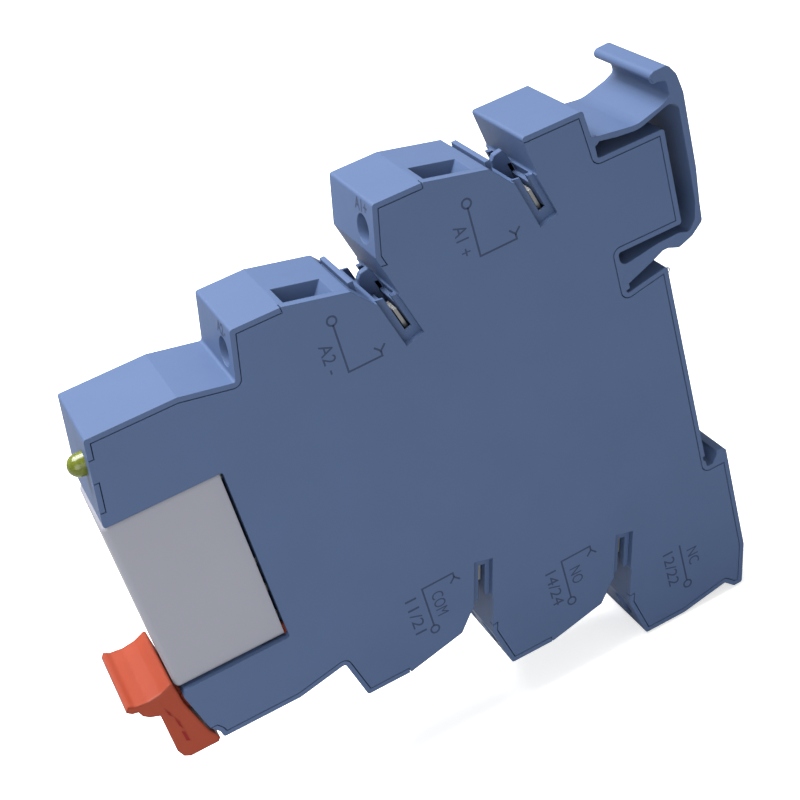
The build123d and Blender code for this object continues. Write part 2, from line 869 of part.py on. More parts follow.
def output_strip(tier, x):
    """A contact strip from the relay socket to an output terminal."""
    start = unit_point(tier, -1, tongue_start + strip / 2, -tongue_depth + 0.2)
    room_z = level(room_half, -1)
    if tier == 0:
        path = [start, (-57.0, -8.0), (-57.0, com_pin_z), (fork_back_y, com_pin_z)]
        shape = web(path, 1.6, x * web_x) + pin_fork(com_pin_z, x, web_x)
        shape += bridge_leaf(tier, -1, x, (start[0] + 1.0, room_z + 0.6))
        shape += web([start, (start[0], room_z + 0.9)], 2.2, x * web_x)
    elif tier == 1:
        path = [start, (start[0], room_z + 1.4), (-50.0, no_pin_z), (fork_back_y, no_pin_z)]
        shape = web(path, 1.6, x * web_x) + pin_fork(no_pin_z, x, web_x)
        shape += bridge_leaf(tier, -1, x, (start[0], room_z + 0.6))
    else:
        path = [start, (start[0], room_z + 1.4), (-14.0, -7.5), (-56.0, nc_pin_z), (fork_back_y, nc_pin_z)]
        shape = web(path, 1.6, x * inner_web_x) + pin_fork(nc_pin_z, x, inner_web_x)
    return shape + tongue(tier, -1, x)


def input_strip(tier):
    """A contact strip from an input terminal to the board."""
    start = unit_point(tier, 1, tongue_start + strip / 2, -tongue_depth + 0.2)
    tab = input_tab(tier)
    level_z = level(room_half, 1) - (0.8, 2.3)[tier]
    shape = tongue(tier, 1, 1) + web([start, (start[0], level_z), tab], 1.4, 2.2)
    shape += bridge_leaf(tier, 1, 1, (start[0] - 0.3, level_z))
    shape += block((2.0, unit_x), (start[0] - 0.7, start[0] + 0.3), (level_z - 0.3, start[1]))
    tail = block((board_x - 1.0, 2.0), (tab[0] - 0.35, tab[0] + 0.35), (tab[1] - 0.35, tab[1] + 0.35))
    return shape + tail


def coil_contact(x):
    """A socket contact for one coil pin, standing on the board."""
    edge = board_x + x * (board_thickness / 2 + 0.02)
    return pin_fork(coil_pin_z, x, x * edge)


def clamp_cage(tier, side, x):
    """The box that rises round the strip as its screw is turned."""
    end = cage_front + cage_length
    out = (-cage_height / 2, cage_height / 2)
    box = unit_box(tier, side, x * unit_x, (cage_front, end), out, cage_width)
    inside = (cage_front + cage_wall, end - cage_rear_wall)
    box -= unit_box(tier, side, x * unit_x, inside, (-4, 4), cage_width - 2 * cage_side_wall)
    hole = shank_radius + thread_clearance
    return box - unit_rod(tier, side, x * unit_x, hole, cage_front - 1, inside[0] + 1)


def clamp_screw(tier, side, x):
    """A slotted screw whose tip bears on the strip."""
    screw = unit_rod(tier, side, x * unit_x, head_radius, head_start, head_start + head_length)
    screw += unit_rod(tier, side, x * unit_x, shank_radius, head_start + head_length, shank_end)
    slot = (head_start - 1, head_start + slot_depth)
    sides = (-slot_width / 2, slot_width / 2)
    return screw - unit_box(tier, side, x * unit_x, slot, sides, 2 * head_radius + 1)


relay_back_y = bay_back_y - relay_gap
relay_front_y = relay_back_y - relay_depth
relay_low_z = bay_low_z + relay_play
relay_high_z = bay_high_z - relay_play - 0.05
base_front_y = relay_back_y - base_thickness
card_front_y = relay_front_y + relay_wall + card_gap


def relay_case():
    """The cap of the relay, open at the back."""
    half = relay_width / 2
    outer = block((-half, half), (relay_front_y, relay_back_y), (relay_low_z, relay_high_z))
    outer = fillet(outer.edges().filter_by(Axis.Y) + outer.faces().sort_by(Axis.Y)[0].edges(), relay_round)
    wall = relay_wall
    inner = block((-half + wall, half - wall), (relay_front_y + wall, relay_back_y + 1),
                  (relay_low_z + wall, relay_high_z - wall))
    return outer - inner


def relay_base():
    """The plate that closes the cap and holds the pins."""
    step = relay_wall + 0.05
    half = relay_width / 2 - step
    z_pair = (relay_low_z + step, relay_high_z - step)
    base = block((-half, half), (base_front_y, relay_back_y), z_pair)
    for z in PIN_LEVELS:
        for x in (-pin_x, pin_x):
            base -= pin_bar(x, z, base_front_y - 1, relay_back_y + 1, 0.02)
    return base


def pin_bar(x, z, y_low, y_high, more=0.0):
    half_x, half_z = pin_thickness / 2 + more, pin_width / 2 + more
    return block((x - half_x, x + half_x), (y_low, y_high), (z - half_z, z + half_z))


def relay_terminals(z, arm_z, tip_y, rivet_side):
    """Two pins, each with the arm that carries a contact inside the relay."""
    pieces = []
    for x in (-pin_x, pin_x):
        pin = pin_bar(x, z, base_front_y - 0.5, relay_back_y + pin_length)
        post_z = (min(z, arm_z) - 0.2, max(z, arm_z) + 0.5)
        pin += block((x - 0.7, x + 0.7), (base_front_y - 0.6, base_front_y - 0.1), post_z)
        if tip_y:
            pin += block((x - 0.9, x + 0.9), (tip_y, base_front_y - 0.2), (arm_z - 0.2, arm_z + 0.2))
            pin += rod_z(x, moving_contact_y, contact_radius, *sorted((arm_z, arm_z + rivet_side * 0.55)))
        pieces.append(pin)
    return pieces


def coil_pins():
    y_pair = (base_front_y - 0.5, relay_back_y + pin_length)
    return [pin_bar(x, coil_pin_z, *y_pair) for x in (-pin_x, pin_x)]


def moving_contacts():
    """The two sprung leaves that change over between the fixed contacts."""
    leaves = []
    for x in (-pin_x, pin_x):
        leaf_bar = block((x - 0.9, x + 0.9), (card_front_y + 1.0, moving_root_y), (moving_z - 0.12, moving_z + 0.12))
        leaf_bar += rod(moving_root_y, moving_z, 0.25, x - 0.9, x + 0.9)
        leaf_bar += rod_z(x, moving_contact_y, contact_radius, moving_z - 0.5, moving_z + 0.5)
        leaves.append(leaf_bar)
    return leaves


def coil_bobbin():
    flange = 0.7
    bobbin = rod_z(0, coil_y, 2.1, coil_low_z, coil_high_z)
    for z in (coil_low_z, coil_high_z - flange):
        bobbin += block((-5.0, 5.0), (coil_y - coil_radius, coil_y + coil_radius), (z, z + flange))
    return bobbin - rod_z(0, coil_y, core_radius + 0.03, coil_low_z - 1, coil_high_z + 1)


def coil_winding():
    low, high = coil_low_z + 0.75, coil_high_z - 0.75
    return rod_z(0, coil_y, coil_radius - 0.3, low, high) - rod_z(0, coil_y, 2.13, low - 1, high + 1)


def core():
    return rod_z(0, coil_y, core_radius, coil_low_z - 0.2, coil_high_z + 0.1)


def yoke():
    """The bent iron plate behind the coil and over its top end."""
    back = coil_y + coil_radius + 0.15
    roof = coil_high_z + 0.12
    upright = block((-4.5, 4.5), (back, back + yoke_wall), (armature_top_z + 0.1, roof + yoke_wall))
    return upright + block((-4.5, 4.5), (coil_y - 4, back + yoke_wall), (roof, roof + yoke_wall))


def armature():
    """The iron flap under the coil. Its front end enters the card."""
    back = coil_y + coil_radius + 0.15 + yoke_wall
    half = armature_thickness / 2
    z_pair = (armature_top_z - armature_thickness, armature_top_z)
    flap = block((-4.5, 4.5), (card_front_y + 1.3, back - half), z_pair)
    flap += rod(back - half, armature_top_z - half, half, -4.5, 4.5)
    return flap + block((-2.2, 2.2), (card_front_y - 0.1, card_front_y + 1.4), z_pair)


def contact_card():
    """The plastic card that the armature lifts, with slots for the moving leaves."""
    y, top = card_front_y, armature_top_z
    card = block((-5.2, 5.2), (y, y + 0.7), (moving_z - 1.0, top + 0.9))
    card += block((-5.2, 5.2), (y + 0.4, y + 1.9), (moving_z - 0.6, moving_z - 0.2))
    return card - block((-2.5, 2.5), (y - 0.6, y + 1.0), (top - armature_thickness - 0.25, top + 0.25))


def save(name, shape):
    """Writes one piece, under its node's name."""
    if isinstance(shape, list):
        shape = Compound(children=shape)
    shape.label = name
    export_step(shape, f"parts/{name}.step")


def main():
    os.makedirs("parts", exist_ok=True)
    save("housing", housing())
    save("side_cover", side_cover())
    save("divider", divider())
    save("ejector_lever", lever())
    save("status_led", status_led())
    save("circuit_board", circuit_board())
    save("rectifier", rectifier())
    save("resistors", resistors())
    save("diode", diode())
    save("capacitor", capacitor())
    save("coil_contact_near", coil_contact(1))
    save("coil_contact_far", coil_contact(-1))
    save("relay_case", relay_case())
    save("relay_base", relay_base())
    save("coil_pins", coil_pins())
    save("com_terminals", relay_terminals(com_pin_z, com_pin_z, None, 0))
    save("no_terminals", relay_terminals(no_pin_z, moving_z + 1.55, card_front_y + 2.3, -1))
    save("nc_terminals", relay_terminals(nc_pin_z, moving_z - 1.1, card_front_y + 2.3, 1))
    save("moving_contacts", moving_contacts())
    save("coil_bobbin", coil_bobbin())
    save("coil_winding", coil_winding())
    save("core", core())
    save("yoke", yoke())
    save("armature", armature())
    save("contact_card", contact_card())
    for name, tier, side, x in TIERS:
        shape = input_strip(tier) if side > 0 else output_strip(tier, x)
        save("strip_" + name, shape)
        save("cage_" + name, clamp_cage(tier, side, x))
        save("screw_" + name, clamp_screw(tier, side, x))


main()
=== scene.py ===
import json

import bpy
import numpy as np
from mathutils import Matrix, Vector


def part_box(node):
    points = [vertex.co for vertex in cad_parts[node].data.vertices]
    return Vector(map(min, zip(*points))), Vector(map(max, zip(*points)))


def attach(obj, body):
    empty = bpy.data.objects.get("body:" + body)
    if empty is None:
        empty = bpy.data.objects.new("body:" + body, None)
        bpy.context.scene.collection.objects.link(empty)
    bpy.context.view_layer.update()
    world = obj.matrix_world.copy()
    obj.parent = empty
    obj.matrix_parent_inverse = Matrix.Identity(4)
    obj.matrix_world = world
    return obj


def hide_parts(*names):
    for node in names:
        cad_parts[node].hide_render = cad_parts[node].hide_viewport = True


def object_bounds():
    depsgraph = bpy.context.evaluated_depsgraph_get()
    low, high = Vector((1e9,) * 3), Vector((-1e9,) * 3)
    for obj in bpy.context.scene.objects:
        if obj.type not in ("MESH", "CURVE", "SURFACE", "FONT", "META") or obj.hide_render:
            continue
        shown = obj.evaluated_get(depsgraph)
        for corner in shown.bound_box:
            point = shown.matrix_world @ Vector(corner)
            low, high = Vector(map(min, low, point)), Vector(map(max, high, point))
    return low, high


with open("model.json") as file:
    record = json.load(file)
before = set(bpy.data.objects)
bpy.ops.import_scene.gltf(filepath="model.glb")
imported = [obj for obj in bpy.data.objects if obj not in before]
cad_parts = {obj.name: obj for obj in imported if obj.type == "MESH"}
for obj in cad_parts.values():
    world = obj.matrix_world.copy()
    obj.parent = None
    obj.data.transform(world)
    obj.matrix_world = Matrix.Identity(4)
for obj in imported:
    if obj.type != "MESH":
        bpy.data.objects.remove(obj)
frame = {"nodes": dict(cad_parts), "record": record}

# %% [markdown]
# This lesson dresses a relay module: a slim terminal housing that clips on a rail, with a relay plugged into its
# front. Its solids come with the frame and stay as they are, so the work here is their finishes, the light and some
# fine pieces. Everything is in metres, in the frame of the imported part: +X is the side with the cover, -Y is the
# front with the relay, +Z is the input side. Moulded parts are drawn in millimetres, so details are given that way
# and multiplied by `MM`.

MM = 0.001
size_at_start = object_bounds()
cover_face_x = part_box("side_cover")[1][0]
bpy.context.scene.view_settings.view_transform = "Standard"
print("box at the start in mm:", [[round(v / MM, 2) for v in corner] for corner in size_at_start])

# %% [markdown]
# Camera. The photo's viewpoint was found by matching corners of the two side faces. A camera could be aimed by eye or
# by a Track To constraint, but a match needs its roll and its off-centre lens too. So it is written down as a place,
# three directions and a lens: the same numbers give the same picture here. The lens shift is there because the photo
# was cropped, and its middle is not the middle of the lens.

# %% Camera at the photo's viewpoint
PHOTO_WIDTH = 800
FOCAL_PIXELS = 1548.4
LENS_CENTRE = (408.9, 445.9)
SENSOR_WIDTH = 36.0
NEAREST_SEEN = 5.0 * MM
CAMERA_PLACE = Vector((168.81, -83.25, 114.46)) * MM
CAMERA_RIGHT = Vector((0.40148, 0.87813, -0.26019))
CAMERA_DOWN = Vector((0.41623, -0.42800, -0.80223))


def photo_camera():
    """A pinhole camera. Its local axes are right, up (minus down) and back (minus the view direction)."""
    lens = bpy.data.cameras.new("photo_camera")
    lens.sensor_width = SENSOR_WIDTH
    lens.lens = FOCAL_PIXELS / PHOTO_WIDTH * SENSOR_WIDTH
    lens.shift_x = (PHOTO_WIDTH / 2 - LENS_CENTRE[0]) / PHOTO_WIDTH
    lens.shift_y = (LENS_CENTRE[1] - PHOTO_WIDTH / 2) / PHOTO_WIDTH
    lens.clip_start = NEAREST_SEEN
    camera = bpy.data.objects.new("photo_camera", lens)
    bpy.context.collection.objects.link(camera)
    back = CAMERA_RIGHT.cross(-CAMERA_DOWN)
    axes = Matrix((CAMERA_RIGHT, -CAMERA_DOWN, back)).transposed()
    camera.matrix_world = Matrix.Translation(CAMERA_PLACE) @ axes.to_4x4()
    return camera


bpy.context.scene.camera = photo_camera()
print("lens of", round(bpy.context.scene.camera.data.lens, 1), "mm at", [round(v / MM) for v in CAMERA_PLACE], "mm")

# %% [markdown]
# Light. The photo has one broad soft light over the input side, so tops are pale and the cover is darker, and a
# weaker one that reaches the cover and the relay. Sun lamps or points would give hard edges to every shadow. An area
# light that is far larger than the part gives the soft edges of a studio's light box, so there are two of them: a key
# and a fill.

# %% Two soft lamps
KEY_PLACE, KEY_SIZE, KEY_POWER = (-0.10, -0.13, 0.42), 0.30, 4.9
FILL_PLACE, FILL_SIZE, FILL_POWER = (0.45, -0.25, 0.10), 0.40, 1.75
LIT_Y = -40.0 * MM


def area_light(name, place, aim, size, power):
    """A square lamp at `place` that faces `aim`. Powers are watts for a part some centimetres across."""
    data = bpy.data.lights.new(name, "AREA")
    data.size = size
    data.energy = power
    lamp = bpy.data.objects.new(name, data)
    bpy.context.collection.objects.link(lamp)
    direction = Vector(aim) - Vector(place)
    lamp.matrix_world = Matrix.Translation(place) @ direction.to_track_quat("-Z", "Y").to_matrix().to_4x4()


lit_point = (size_at_start[0][0] + size_at_start[1][0]) / 2, LIT_Y, 0.0
area_light("key", KEY_PLACE, lit_point, KEY_SIZE, KEY_POWER)
area_light("fill", FILL_PLACE, lit_point, FILL_SIZE, FILL_POWER)
print("key", KEY_POWER, "W and fill", FILL_POWER, "W, aimed at", [round(v / MM, 1) for v in lit_point])

# %% [markdown]
# Small node helpers. A shader is a graph, and most of it is three steps: work out one value from two, spread a value
# over a range, and take noise at a point. Each is a function here, so that a finish can be read as a recipe. The
# noise reads object coordinates, which stay with a piece when its body moves.

# %% Helpers for shader nodes
def math_node(tree, operation, first, second):
    """One operation on two values, each a socket or a number."""
    node = tree.nodes.new("ShaderNodeMath")
    node.operation = operation
    for socket, value in zip(node.inputs, (first, second)):
        if isinstance(value, bpy.types.NodeSocket):
            tree.links.new(value, socket)
        else:
            socket.default_value = value
    return node.outputs[0]


def ramp(tree, value, low, high):
    """Spreads `value`, 0 to 1, over the range low to high: low + value (high - low)."""
    spread = tree.nodes.new("ShaderNodeMapRange")
    spread.inputs["To Min"].default_value = low
    spread.inputs["To Max"].default_value = high
    tree.links.new(value, spread.inputs["Value"])
    return spread.outputs["Result"]


def noise(tree, size, detail=2.0):
    """Noise over object coordinates, with features of about `size` metres."""
    place = tree.nodes.new("ShaderNodeTexCoord")
    texture = tree.nodes.new("ShaderNodeTexNoise")
    texture.inputs["Scale"].default_value = 1.0 / size
    texture.inputs["Detail"].default_value = detail
    tree.links.new(place.outputs["Object"], texture.inputs["Vector"])
    return texture.outputs["Fac"]


# %% [markdown]
# White around the part. A white world would also light the part from everywhere and wash its colours out. The Light
# Path node tells who looks: the camera and glass see plain white, gloss sees a share of it, and what falls on the
# part as light is a level of its own.

# %% The world
AMBIENT = 0.46
GLOSS_SHARE = 0.3


def white_background():
    """Strength is AMBIENT for light on the part and 1 for the camera and glass, with gloss GLOSS_SHARE of the way."""
    world = bpy.data.worlds.new("studio")
    bpy.context.scene.world = world
    world.use_nodes = True
    tree = world.node_tree
    tree.nodes.clear()
    path = tree.nodes.new("ShaderNodeLightPath")
    gloss = math_node(tree, "MULTIPLY", path.outputs["Is Glossy Ray"], GLOSS_SHARE)
    seen = math_node(tree, "MAXIMUM", path.outputs["Is Camera Ray"], gloss)
    seen = math_node(tree, "MAXIMUM", seen, path.outputs["Is Transmission Ray"])
    background = tree.nodes.new("ShaderNodeBackground")
    background.inputs["Color"].default_value = (1.0, 1.0, 1.0, 1.0)
    tree.links.new(ramp(tree, seen, AMBIENT, 1.0), background.inputs["Strength"])
    tree.links.new(background.outputs[0], tree.nodes.new("ShaderNodeOutputWorld").inputs["Surface"])


white_background()
print("world: ambient", AMBIENT, "and", GLOSS_SHARE, "of the white in gloss")

# %% [markdown]
# The floor is a sheet of paper under the part. Without it the part would float, and a shadow catcher would need a
# transparent film and a compositor. So it is one real square, just below the lowest point. It glows a little to the
# camera, so that it meets the white background and keeps the part's shadow, and throws only a share of its light
# back, as a table that stands on its own does. Otherwise the dark hollows of the output side would turn grey.

# %% A paper floor
FLOOR_GLOW = 0.54
FLOOR_BOUNCE = 0.45
FLOOR_DROP = 0.5 * MM
FLOOR_REACH = 0.6
PAPER_GRAIN = 20.0 * MM
PAPER_SHADES = (0.90, 0.94)
PAPER_ROUGHNESS = 0.9


def paper():
    """Pale paper whose base colour is full for the camera and FLOOR_BOUNCE of it for light."""
    material = bpy.data.materials.new("paper")
    material.use_nodes = True
    tree = material.node_tree
    bsdf = tree.nodes["Principled BSDF"]
    seen = tree.nodes.new("ShaderNodeLightPath").outputs["Is Camera Ray"]
    shade = ramp(tree, noise(tree, PAPER_GRAIN), *PAPER_SHADES)
    pale = math_node(tree, "MULTIPLY", shade, ramp(tree, seen, FLOOR_BOUNCE, 1.0))
    tree.links.new(pale, bsdf.inputs["Base Color"])
    tree.links.new(math_node(tree, "MULTIPLY", seen, FLOOR_GLOW), bsdf.inputs["Emission Strength"])
    bsdf.inputs["Emission Color"].default_value = (1.0, 1.0, 1.0, 1.0)
    bsdf.inputs["Roughness"].default_value = PAPER_ROUGHNESS
    return material


def floor_sheet(height, reach):
    """One square, `reach` to each side of the origin."""
    mesh = bpy.data.meshes.new("floor")
    corners = np.array([(-1, -1), (1, -1), (1, 1), (-1, 1)]) * reach
    mesh.from_pydata(np.column_stack([corners, np.full(4, height)]).tolist(), [], [(0, 1, 2, 3)])
    mesh.materials.append(paper())
    floor = bpy.data.objects.new("floor", mesh)
    bpy.context.collection.objects.link(floor)


floor_height = size_at_start[0][2] - FLOOR_DROP
floor_sheet(floor_height, FLOOR_REACH)
print("floor at", round(floor_height / MM, 2), "mm")

# %% [markdown]
# What all finishes share. No moulded or stamped piece has sharp edges or one flat colour. A Bevel modifier would
# round the edges, but the solids' meshes are left as they are, so a Bevel node rounds the normal instead, by a
# fraction of a millimetre. The colour is mixed from a lighter and a darker one in soft patches.

# %% Rounded edges and tinted colour
EDGE_ROUND = 0.16 * MM
EDGE_SAMPLES = 6
BUMP_DEPTH = 0.02 * MM


def shader(name):
    """A new material with its node tree and its Principled shader."""
    material = bpy.data.materials.new(name)
    material.use_nodes = True
    tree = material.node_tree
    return material, tree, tree.nodes["Principled BSDF"]


def soft_edges(tree, bsdf, height, strength, radius=EDGE_ROUND):
    """A bump by `height` on top of edges rounded by `radius`."""
    bevel = tree.nodes.new("ShaderNodeBevel")
    bevel.samples = EDGE_SAMPLES
    bevel.inputs["Radius"].default_value = radius
    bump = tree.nodes.new("ShaderNodeBump")
    bump.inputs["Strength"].default_value = strength
    bump.inputs["Distance"].default_value = BUMP_DEPTH
    tree.links.new(bevel.outputs[0], bump.inputs["Normal"])
    tree.links.new(height, bump.inputs["Height"])
    tree.links.new(bump.outputs[0], bsdf.inputs["Normal"])


def tinted(tree, bsdf, colour, spread, size):
    """The base colour, up to `spread` lighter or darker in patches of about `size`: colour x (1 +- spread)."""
    mix = tree.nodes.new("ShaderNodeMix")
    mix.data_type = "RGBA"
    mix.inputs["A"].default_value = (*[c * (1 - spread) for c in colour], 1)
    mix.inputs["B"].default_value = (*[min(1, c * (1 + spread)) for c in colour], 1)
    tree.links.new(noise(tree, size), mix.inputs["Factor"])
    tree.links.new(mix.outputs["Result"], bsdf.inputs["Base Color"])


# %% [markdown]
# Moulded plastic. The tool that shapes it is often spark-eroded, which leaves a fine grain and a matt surface. A
# picture of such grain would need an unwrapped mesh, so noise does it: a fine one for the bump, a wide one for the
# gloss. Where the plastic is thin and bright, as in the lever, light goes in and comes out redder, which is a little
# subsurface.

# %% Finish for mouldings
GRAIN_SIZE = 0.22 * MM
GRAIN_DETAIL = 3.0
MOTTLE_SIZE = 9.0 * MM
GLOSS_PATCH = MOTTLE_SIZE / 3
GLOSS_SPREAD = 0.06
MATT_SPECULAR = 0.24
RED_DEPTHS = (0.8 * MM, 0.4 * MM, 0.3 * MM)


def moulding(name, colour, roughness=0.5, spread=0.05, bump=0.25, glow=0.0, edge=EDGE_ROUND):
    """A matt moulding. `glow` lets light spread below the surface, and `edge` is how far edges look rounded."""
    material, tree, bsdf = shader(name)
    tinted(tree, bsdf, colour, spread, MOTTLE_SIZE)
    gloss = ramp(tree, noise(tree, GLOSS_PATCH), roughness - GLOSS_SPREAD, roughness + GLOSS_SPREAD)
    tree.links.new(gloss, bsdf.inputs["Roughness"])
    bsdf.inputs["Specular IOR Level"].default_value = MATT_SPECULAR
    bsdf.inputs["Subsurface Weight"].default_value = glow
    bsdf.inputs["Subsurface Radius"].default_value = RED_DEPTHS
    soft_edges(tree, bsdf, noise(tree, GRAIN_SIZE, GRAIN_DETAIL), bump, edge)
    return material


# %% [markdown]
# Plated metal. Strips, cages and screws are stamped or turned, then tinned or zinc plated. Rolling and polishing
# leave fine lines one way. An anisotropic shader needs tangents, which these meshes lack, so the same noise,
# stretched along one axis by a Mapping node, varies the gloss and gives a slight bump.

# %% Finish for plated metal
TARNISH_SPREAD, TARNISH_SIZE = 0.08, 3.0 * MM
POLISH_SIZE = 0.5 * MM
POLISH_BELOW, POLISH_ABOVE = 0.1, 0.12
METAL_BUMP, METAL_EDGE = 0.15, 0.06 * MM


def plated(name, colour, roughness, streak=(1, 1, 1)):
    """Rolled and plated metal. `streak` is how much finer the polish marks are along X, Y and Z."""
    material, tree, bsdf = shader(name)
    bsdf.inputs["Metallic"].default_value = 1.0
    tinted(tree, bsdf, colour, TARNISH_SPREAD, TARNISH_SIZE)
    place = tree.nodes.new("ShaderNodeTexCoord")
    stretch = tree.nodes.new("ShaderNodeMapping")
    stretch.inputs["Scale"].default_value = streak
    marks = tree.nodes.new("ShaderNodeTexNoise")
    marks.inputs["Scale"].default_value = 1.0 / POLISH_SIZE
    tree.links.new(place.outputs["Object"], stretch.inputs["Vector"])
    tree.links.new(stretch.outputs[0], marks.inputs["Vector"])
    gloss = ramp(tree, marks.outputs["Fac"], roughness - POLISH_BELOW, roughness + POLISH_ABOVE)
    tree.links.new(gloss, bsdf.inputs["Roughness"])
    soft_edges(tree, bsdf, marks.outputs["Fac"], METAL_BUMP, METAL_EDGE)
    return material


# %% [markdown]
# The lamp's resin. The lamp is cast in clear, tinted epoxy. Pure glass would show nothing inside it, because the
# lamp's chip isn't modelled. So part of the light passes and the rest spreads below the surface, which reads as a
# filled lens.

# %% Finish for the lamp
RESIN_ROUGHNESS = 0.22
RESIN_CLEAR, RESIN_CLOUD = 0.35, 0.5
RESIN_DEPTHS = (1.0 * MM, 1.0 * MM, 0.3 * MM)
RESIN_SPREAD, RESIN_PATCH = 0.12, 1.2 * MM
RESIN_WAVE, RESIN_BUMP, RESIN_EDGE = 0.8 * MM, 0.05, 0.05 * MM


def resin(name, colour):
    """Tinted clear resin: RESIN_CLEAR of the light goes through, and RESIN_CLOUD of the rest is scattered."""
    material, tree, bsdf = shader(name)
    tinted(tree, bsdf, colour, RESIN_SPREAD, RESIN_PATCH)
    bsdf.inputs["Roughness"].default_value = RESIN_ROUGHNESS
    bsdf.inputs["Transmission Weight"].default_value = RESIN_CLEAR
    bsdf.inputs["Subsurface Weight"].default_value = RESIN_CLOUD
    bsdf.inputs["Subsurface Radius"].default_value = RESIN_DEPTHS
    soft_edges(tree, bsdf, noise(tree, RESIN_WAVE), RESIN_BUMP, RESIN_EDGE)
    return material


# %% [markdown]
# One finish for each kind of piece. The housing and its cover are the same plastic from two moulds, so they share
# one. The lever is brighter, with a wider edge. Colours are linear values, matched to the photo under the lamps
# above. A node's record names its material slot, so one table dresses every node, and a slot that is missing would
# stop the script.

# %% A finish for every node of the frame
LEVER_EDGE = 0.7 * MM
FINISHES = {
    "housing_plastic": moulding("housing_plastic", (0.062, 0.099, 0.196), 0.54),
    "inner_plastic": moulding("inner_plastic", (0.62, 0.61, 0.55), 0.5),
    "lever_plastic": moulding("lever_plastic", (0.275, 0.041, 0.016), 0.45, 0.06, 0.2, 0.2, LEVER_EDGE),
    "lamp_resin": resin("lamp_resin", (0.155, 0.186, 0.008)),
    "board": moulding("board", (0.02, 0.12, 0.05), 0.25, 0.2, 0.1),
    "dark_moulding": moulding("dark_moulding", (0.012, 0.012, 0.014), 0.45),
    # The contact strips' colour is metal's own grey darkened by painted shade for the dark slots that they sit in.
    "contact_metal": plated("contact_metal", (0.30, 0.30, 0.29), 0.38, (1, 8, 1)),
    "cage_metal": plated("cage_metal", (0.66, 0.66, 0.63), 0.35, (1, 1, 6)),
    "screw_metal": plated("screw_metal", (0.70, 0.70, 0.68), 0.24),
    "relay_plastic": moulding("relay_plastic", (0.262, 0.268, 0.312), 0.5, 0.03),
    "relay_base_plastic": moulding("relay_base_plastic", (0.03, 0.03, 0.035), 0.5),
    "copper_wire": plated("copper_wire", (0.62, 0.22, 0.08), 0.3, (1, 1, 12)),
    "iron": plated("iron", (0.42, 0.43, 0.45), 0.4),
}
SLOTS = {part["node"]: part["material_slot"] for part in frame["record"]["subparts"]}

for node, cad_object in frame["nodes"].items():
    for place in cad_object.material_slots:
        place.material = FINISHES[SLOTS[node]]
print(len(frame["nodes"]), "nodes dressed in", len(set(SLOTS.values())), "finishes")

# %% [markdown]
# From here on, pieces that the frame doesn't hold. They could be built from primitives and modifiers, but a surface
# given by a formula is exact and can be changed by a number. All are grids: `numpy` works out every point at once,
# and the mesh takes them row by row. A piece sits at the origin with its place in its points, and rides on a body.
# A face points to the side from which its corners run anticlockwise. A mirrored grid would face inwards, so its faces
# are turned round.

# %% From grids of points to pieces
def grid_faces(rows, columns, close_rows=False, close_columns=False):
    """Quads of a grid: (r, c), (r, c + 1), (r + 1, c + 1), (r + 1, c). A closed direction ends where it starts."""
    r = np.arange(rows if close_rows else rows - 1)
    c = np.arange(columns if close_columns else columns - 1)
    r, c = (a.ravel() for a in np.meshgrid(r, c, indexing="ij"))
    r_next, c_next = (r + 1) % rows, (c + 1) % columns
    return np.stack([r * columns + c, r * columns + c_next, r_next * columns + c_next, r_next * columns + c], axis=1)


def turned(faces):
    """The same faces with their corners in the opposite order, so that they point the other way."""
    return [list(face)[::-1] for face in faces]


def joined(parts):
    """One list of points and one of faces, from pairs of both. Faces count on from the points before them."""
    points, faces, start = [], [], 0
    for own_points, own_faces in parts:
        points.append(np.asarray(own_points, dtype=float).reshape(-1, 3))
        faces += [(np.asarray(face) + start).tolist() for face in own_faces]
        start += len(points[-1])
    return np.concatenate(points), faces


def piece(name, points, faces, body, slot, material, smooth=True):
    """A mesh object at the origin that rides on `body`. Points are in millimetres."""
    mesh = bpy.data.meshes.new(name)
    mesh.from_pydata((np.asarray(points) * MM).tolist(), [], [list(map(int, face)) for face in faces])
    mesh.polygons.foreach_set("use_smooth", [smooth] * len(mesh.polygons))
    mesh.materials.append(material)
    thing = bpy.data.objects.new(name, mesh)
    bpy.context.collection.objects.link(thing)
    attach(thing, body)
    print(name, "on", body, "with", len(mesh.vertices), "points and", len(mesh.polygons), "faces")
    return thing


# %% [markdown]
# The terminal signs. A laser or a pad prints them after moulding: a thin dark film on the cover, with the usual
# contact signs. An image on the cover would blur when seen from near, and a film of real strokes stays sharp at any
# distance. Each stroke is a ribbon along a line, and its corners are mitred.

# %% Strokes of the printed signs
INK_HEIGHT = 0.012
STROKE = 0.26
STROKE_TOP = 0.94
RING_RADIUS, RING_POINTS = 0.62, 28
FORK_STEM, FORK_SPREAD = 0.7, 0.75
NO_LENGTH = 1e-12
ink_x = cover_face_x / MM


def ribbon(line, width=STROKE, closed=False):
    """A flat stroke along points in Y and Z on the cover, `width` wide.

    With n1 and n2 the normals of the runs before and after a corner, the side step there is
    (n1 + n2) / (1 + n1.n2) x width / 2, which keeps the ribbon as wide on both runs. Across it there are four
    points: two on the cover, and two a film's height above it and a little closer to the line.
    """
    line = np.asarray(line, dtype=float)
    runs = np.roll(line, -1, axis=0) - line
    runs /= np.linalg.norm(runs, axis=1, keepdims=True) + NO_LENGTH
    after = np.stack([-runs[:, 1], runs[:, 0]], axis=1)
    before = np.roll(after, 1, axis=0)
    if not closed:
        after[-1] = before[-1]
        before[0] = after[0]
    side = (before + after) / (1.0 + np.sum(before * after, axis=1, keepdims=True)) * width / 2
    rows = [line - side, line - side * STROKE_TOP, line + side * STROKE_TOP, line + side]
    heights = [0.0, INK_HEIGHT, INK_HEIGHT, 0.0]
    grid = np.stack([np.column_stack([np.full(len(line), ink_x + h), row]) for row, h in zip(rows, heights)])
    return grid, grid_faces(4, len(line), close_columns=closed)


